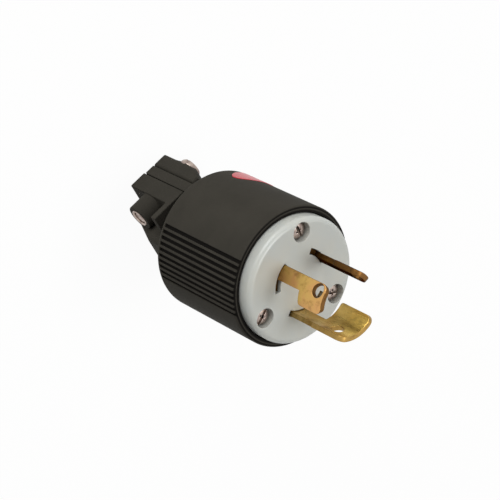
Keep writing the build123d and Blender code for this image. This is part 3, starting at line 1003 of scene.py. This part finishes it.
def half_of_clamp(sizes):
    """One clamp half, lying with its side along X and its closing direction along Y."""
    wide, saddle_wide = mm(sizes.half_width), mm(sizes.saddle_half_width)
    # The saddle over the cord, with its back sloped down
    half = block(
        "clamp_half", (-saddle_wide, SADDLE_PARTING, SADDLE_BACK), (saddle_wide, SADDLE_TOP, CLAMP_FRONT)
    )
    slice_off(half, (0, SADDLE_TOP, SADDLE_BACK + SADDLE_SLOPE), (0, SADDLE_SLOPE, -SADDLE_DROP))
    edit(half)
    pick(
        half,
        "EDGE",
        lambda rim: middle_of(rim).y > SADDLE_TOP - SADDLE_DROP
        and abs(abs(middle_of(rim).x) - saddle_wide) < NEAR,
    )
    bpy.ops.mesh.bevel(offset=SADDLE_ROUND, segments=6, affect="EDGES")
    # The tail beside it, with its front flange, its relief for the rail and its boss
    tail = block("tail", (saddle_wide - TAIL_OVERLAP, TAIL_LOW, CLAMP_BACK), (wide, TAIL_TOP, CLAMP_FRONT))
    score(tail, (0, 0, CLAMP_FRONT - FLANGE), (0, 0, 1))
    edit(tail)
    pick(
        tail,
        "FACE",
        lambda face: middle_of(face).y > TAIL_TOP - 0.1 and middle_of(face).z > CLAMP_FRONT - FLANGE,
    )
    bpy.ops.mesh.extrude_region_move(TRANSFORM_OT_translate={"value": (0, FLANGE_RISE, 0)})
    relief = block("relief", (saddle_wide - 2.0, -3.0, -70.0), (RAIL_INNER, SADDLE_PARTING, -30.0))
    combine(tail, relief, "DIFFERENCE")
    combine(half, tail, "UNION")
    side = CLAMP_SCREW_OFFSET
    boss = rod("boss", BOSS, (side, SADDLE_PARTING, CLAMP_SCREW), (side, BOSS_TOP, CLAMP_SCREW), 64)
    combine(half, boss, "UNION")
    # The cheek on the other side, sloped in front and cut across at its back corner beside the saddle
    cheek = block("cheek", (-wide, CHEEK_LOW, CLAMP_BACK), (-saddle_wide + 1.0, CHEEK_TOP, CLAMP_FRONT))
    slice_off(cheek, (0, CHEEK_TOP, CLAMP_FRONT - CHEEK_SLOPE), (0, CHEEK_SLOPE, CHEEK_DROP))
    edit(cheek)
    pick(cheek, "EDGE", lambda rim: abs(middle_of(rim).x + wide) < NEAR)
    bpy.ops.mesh.bevel(offset=CHEEK_ROUND, segments=5, affect="EDGES")
    slice_off(cheek, (-saddle_wide, 0, CLAMP_BACK + CHEEK_CORNER), (1, 0, -1))
    combine(half, cheek, "UNION")
    # The screw's hole and head recess in the cheek, then the hole and the insert's bore in the boss
    for radius, side, low, high in (
        (CLAMP_SCREW_HOLE, -CLAMP_SCREW_OFFSET, -5.0, 15.0),
        (HEAD_RECESS, -CLAMP_SCREW_OFFSET, CLAMP_SCREW_SEAT, 15.0),
        (CLAMP_SCREW_HOLE, CLAMP_SCREW_OFFSET, -5.0, 7.0),
        (INSERT, CLAMP_SCREW_OFFSET, INSERT_TOP - INSERT_LENGTH, 15.0),
    ):
        hole = rod("hole", radius, (side, low, CLAMP_SCREW), (side, high, CLAMP_SCREW), 48)
        combine(half, hole, "DIFFERENCE")
    # The lands that grip the cord, with a wider groove on each side of every land
    combine(half, rod("lands", mm(sizes.cord), (0, 0, -70), (0, 0, -30), 128), "DIFFERENCE")
    pitch = (CLAMP_FRONT - SADDLE_BACK) / LANDS
    for gap in range(LANDS + 1):
        low = SADDLE_BACK + (gap - 0.5) * pitch + LAND / 2
        ring = rod("groove", CORD_GROOVE, (0, 0, low), (0, 0, low + pitch - LAND), 128)
        combine(half, ring, "DIFFERENCE")
    soften(half, mm(sizes.edge), 3, 35.0)
    return half


class PLUG_OT_cord_clamp(bpy.types.Operator):
    """Model the two equal halves of the cord clamp"""

    bl_idname = "plug.cord_clamp"
    bl_label = "Cord clamp"

    def execute(self, context):
        first = half_of_clamp(context.scene.plug_clamp)
        second = copy_of(first, "clamp_half_turned")
        for number, (half, direction) in enumerate(zip((first, second), CLAMP_SIDES), start=1):
            half.name = f"clamp_half_{number}_moulded"
            turn(half, direction - 90)
            finish(half, finish_of(black_nylon), "black_nylon", f"clamp_half_{number}")
        return {"FINISHED"}


def laid_over(piece):
    """Tips a piece that was turned upright, so that its top points along Y."""
    take(piece)
    piece.rotation_euler = (radians(-90), 0, 0)
    bpy.ops.object.transform_apply(rotation=True)


def pan_screw(name, head, height, shank, reach):
    """A pan-head screw with a combined slot and cross, standing on its tip with its seat at zero."""
    outline = [(0.0, height), (head * 0.55, height * 0.97), (head * 0.82, height * 0.85)]
    outline += [(head * 0.96, height * 0.6), (head, height * 0.3), (head, 0.0), (shank, 0.0)]
    outline += [(shank, 0.6 - reach), (shank - 0.5, -reach), (0.0, -reach)]
    screw = turned(name, outline, 64)
    slot = block("slot", (-head * 1.2, -0.4, height - 0.9), (head * 1.2, 0.4, height + PAST))
    combine(screw, slot, "DIFFERENCE")
    # The cross is two flattened four-sided points, a quarter turn apart
    for quarter in (0.0, 90.0):
        cross = rod("cross", 0.05, (0, 0, height - 1.5), (0, 0, height + 0.3), 4, head * 0.62)
        take(cross)
        cross.rotation_euler = (0, 0, radians(45))
        bpy.ops.object.transform_apply(rotation=True)
        cross.scale = (1.0, 0.3, 1.0)
        bpy.ops.object.transform_apply(scale=True)
        turn(cross, quarter)
        combine(screw, cross, "DIFFERENCE")
    soften(screw, 0.08, 2, 35.0)
    return screw


class PLUG_OT_screws(bpy.types.Operator):
    """Model the three face screws and the two clamp screws"""

    bl_idname = "plug.screws"
    bl_label = "Screws"

    def execute(self, context):
        sizes = context.scene.plug_screws
        steel = finish_of(plated_steel)
        pattern = pan_screw("face_screw", mm(sizes.face_head), height=1.8, shank=1.75, reach=27.3)
        for number, angle in enumerate(FACE_SCREWS, start=1):
            screw = copy_of(pattern, f"face_screw_{number}")
            turn(screw, angle + 25.0)
            move(screw, (*on_circle(SCREW_CIRCLE, angle), SCREW_SEAT))
            finish(screw, steel, "steel_screw", f"assembly_screw_{number}")
        bpy.data.objects.remove(pattern)
        pattern = pan_screw("clamp_screw", mm(sizes.clamp_head), height=2.4, shank=2.0, reach=19.2)
        laid_over(pattern)
        for number, direction in enumerate(CLAMP_SIDES, start=1):
            screw = copy_of(pattern, f"clamp_screw_{number}_headed")
            move(screw, (-CLAMP_SCREW_OFFSET, CLAMP_SCREW_SEAT, CLAMP_SCREW))
            turn(screw, direction - 90)
            finish(screw, steel, "steel_screw", f"clamp_screw_{number}")
        bpy.data.objects.remove(pattern)
        return {"FINISHED"}


class PLUG_OT_inserts(bpy.types.Operator):
    """Model the threaded inserts of the clamp's bosses"""

    bl_idname = "plug.inserts"
    bl_label = "Clamp inserts"

    def execute(self, context):
        outline = [(INSERT_BORE, -INSERT_LENGTH), (INSERT_BORE, -0.35), (INSERT_BORE + 0.3, 0.0)]
        outline += [(INSERT - 0.2, 0.0), (INSERT, -0.2), (INSERT, -INSERT_LENGTH)]
        outline += [(INSERT_BORE, -INSERT_LENGTH)]
        for number, direction in enumerate(CLAMP_SIDES, start=1):
            insert = turned(f"clamp_insert_{number}_turned", outline, 64)
            laid_over(insert)
            move(insert, (CLAMP_SCREW_OFFSET, INSERT_TOP, CLAMP_SCREW))
            turn(insert, direction + 90)
            finish(insert, finish_of(plated_steel), "steel_insert", f"clamp_insert_{number}")
        return {"FINISHED"}


class PLUG_OT_dust_seal(bpy.types.Operator):
    """Model the rubber seal in the rear wall"""

    bl_idname = "plug.dust_seal"
    bl_label = "Dust seal"

    def execute(self, context):
        outside = SEAL_SEAT - 0.05
        # The lip thins towards the cord
        outline = [(outside, WALL), (outside, WALL - SEAL_DEPTH), (7.6, WALL - SEAL_DEPTH)]
        outline += [(7.2, WALL - 1.1), (6.9, WALL - 1.1), (6.4, WALL - 0.9), (6.4, WALL - 0.5)]
        outline += [(6.9, WALL - 0.3), (7.6, WALL), (outside, WALL)]
        seal = turned("dust_seal_moulded", outline, 128)
        soften(seal, 0.1, 2, 50.0)
        finish(seal, finish_of(seal_rubber), "seal_rubber", "dust_seal")
        return {"FINISHED"}


class PLUG_OT_terminals(bpy.types.Operator):
    """Give the terminal block, plates, screws and inserts inside their finishes"""

    bl_idname = "plug.terminals"
    bl_label = "Terminals"

    def execute(self, context):
        dress("terminal_block", finish_of(grey_thermoset))
        for name, coat in (
            ("hot", turned_brass),
            ("neutral", plated_steel),
            ("ground", green_lacquer),
        ):
            dress(f"{name}_terminal_screw", finish_of(coat))
            dress(f"{name}_pressure_plate", finish_of(plated_steel))
        for number in (1, 2, 3):
            dress(f"shell_insert_{number}", finish_of(turned_brass))
        return {"FINISHED"}


def seen_directly(tree):
    """Where the camera, a mirror or glass looks, as a factor of one."""
    path = add_node(tree, "ShaderNodeLightPath")
    seen = path.outputs["Is Camera Ray"]
    for ray in ("Is Glossy Ray", "Is Transmission Ray"):
        both = {0: seen, 1: path.outputs[ray]}
        seen = add_node(tree, "ShaderNodeMath", {"operation": "ADD", "use_clamp": True}, both).outputs[0]
    return seen


def lamp(name, place, size, strength):
    """A square soft lamp that shines at the plug's middle."""
    light = bpy.data.lights.new(name, "AREA")
    light.size = size
    light.energy = strength
    held = bpy.data.objects.new(name, light)
    bpy.context.scene.collection.objects.link(held)
    place, aim = Vector(place), Vector((0, 0, -0.02))
    held.location = place
    held.rotation_euler = (aim - place).to_track_quat("-Z", "Y").to_euler()


class PLUG_OT_stage(bpy.types.Operator):
    """Set up the floor, lamps, backdrop and camera"""

    bl_idname = "plug.stage"
    bl_label = "Stage"

    def execute(self, context):
        scene = context.scene
        deselect()
        # The floor lies a fifth of a millimetre under the clamp's end
        bpy.ops.mesh.primitive_plane_add(size=6, location=(0, 0, CAD_BOX[0].z - 0.2 / METRE))
        bpy.ops.object.transform_apply(location=True)
        floor = bpy.context.object
        floor.name = "floor"
        material = bpy.data.materials.new("white_card")
        material.use_nodes = True
        tree = material.node_tree
        tree.nodes.clear()
        card = add_node(tree, "ShaderNodeBsdfDiffuse", inputs={"Color": linear("#f4f4f2")})
        glow = add_node(tree, "ShaderNodeEmission", inputs={"Color": linear(WHITE), "Strength": 1.0})
        share = reckon(tree, "MULTIPLY", seen_directly(tree), FLOOR_GLOW)
        mix = add_node(tree, "ShaderNodeMixShader", inputs={0: share, 1: card.outputs[0], 2: glow.outputs[0]})
        add_node(tree, "ShaderNodeOutputMaterial", inputs={"Surface": mix.outputs[0]})
        floor.data.materials.append(material)

        world = bpy.data.worlds.new("white_room")
        scene.world = world
        world.use_nodes = True
        tree = world.node_tree
        tree.nodes.clear()
        room = add_node(tree, "ShaderNodeBackground", inputs={"Color": linear(WHITE), "Strength": ROOM_LIGHT})
        shown = add_node(tree, "ShaderNodeBackground", inputs={"Color": linear(WHITE), "Strength": 1.0})
        mix = add_node(
            tree,
            "ShaderNodeMixShader",
            inputs={0: seen_directly(tree), 1: room.outputs[0], 2: shown.outputs[0]},
        )
        add_node(tree, "ShaderNodeOutputWorld", inputs={"Surface": mix.outputs[0]})

        lamp("key_lamp", place=(0.15, 0.08, 0.85), size=0.35, strength=4.0)
        lamp("side_lamp", place=(-0.35, 0.66, 0.12), size=0.4, strength=3.6)

        scene.view_settings.view_transform = "Standard"
        camera = bpy.data.cameras.new("camera")
        camera.lens = 136.28
        camera.sensor_width = 36.0
        camera.clip_start = 0.01
        held = bpy.data.objects.new("camera", camera)
        scene.collection.objects.link(held)
        # The camera stands where the photograph's did, rolled so that the upright plug leans as it does there
        right = Vector((0.77759, 0.0, 0.62878))
        up = Vector((0.25068, 0.91709, -0.31000))
        back = Vector((-0.57665, 0.39867, 0.71312))
        turned_to = Matrix((right, up, back)).transposed().to_4x4()
        held.matrix_world = Matrix.Translation((-0.2940, 0.2051, 0.3422)) @ turned_to
        scene.camera = held
        return {"FINISHED"}


STEPS = (
    ("nose", PLUG_OT_nose),
    ("blades", PLUG_OT_blades),
    ("housing", PLUG_OT_housing),
    ("badge", PLUG_OT_badge),
    ("cord_clamp", PLUG_OT_cord_clamp),
    ("screws", PLUG_OT_screws),
    ("inserts", PLUG_OT_inserts),
    ("dust_seal", PLUG_OT_dust_seal),
    ("terminals", PLUG_OT_terminals),
    ("stage", PLUG_OT_stage),
)


class PLUG_PT_panel(bpy.types.Panel):
    """Lists the plug's sizes and the steps that model it"""

    bl_idname = "PLUG_PT_panel"
    bl_label = "Locking power plug"
    bl_space_type = "VIEW_3D"
    bl_region_type = "UI"
    bl_category = "Plug"

    def draw(self, context):
        for group in (
            context.scene.plug_housing,
            context.scene.plug_nose,
            context.scene.plug_blades,
            context.scene.plug_clamp,
            context.scene.plug_screws,
        ):
            box = self.layout.box()
            for field in group.__annotations__:
                box.prop(group, field)
        for _, step in STEPS:
            self.layout.operator(step.bl_idname)


GROUPS = (
    ("plug_housing", HousingSizes),
    ("plug_nose", NoseSizes),
    ("plug_blades", BladeSizes),
    ("plug_clamp", ClampSizes),
    ("plug_screws", ScrewSizes),
)


def register():
    for name, group in GROUPS:
        bpy.utils.register_class(group)
        setattr(bpy.types.Scene, name, bpy.props.PointerProperty(type=group))
    for _, step in STEPS:
        bpy.utils.register_class(step)
    bpy.utils.register_class(PLUG_PT_panel)


def unregister():
    bpy.utils.unregister_class(PLUG_PT_panel)
    for _, step in reversed(STEPS):
        bpy.utils.unregister_class(step)
    for name, group in reversed(GROUPS):
        delattr(bpy.types.Scene, name)
        bpy.utils.unregister_class(group)


def main():
    register()
    for name, _ in STEPS:
        getattr(bpy.ops.plug, name)()


if __name__ == "__main__":
    main()
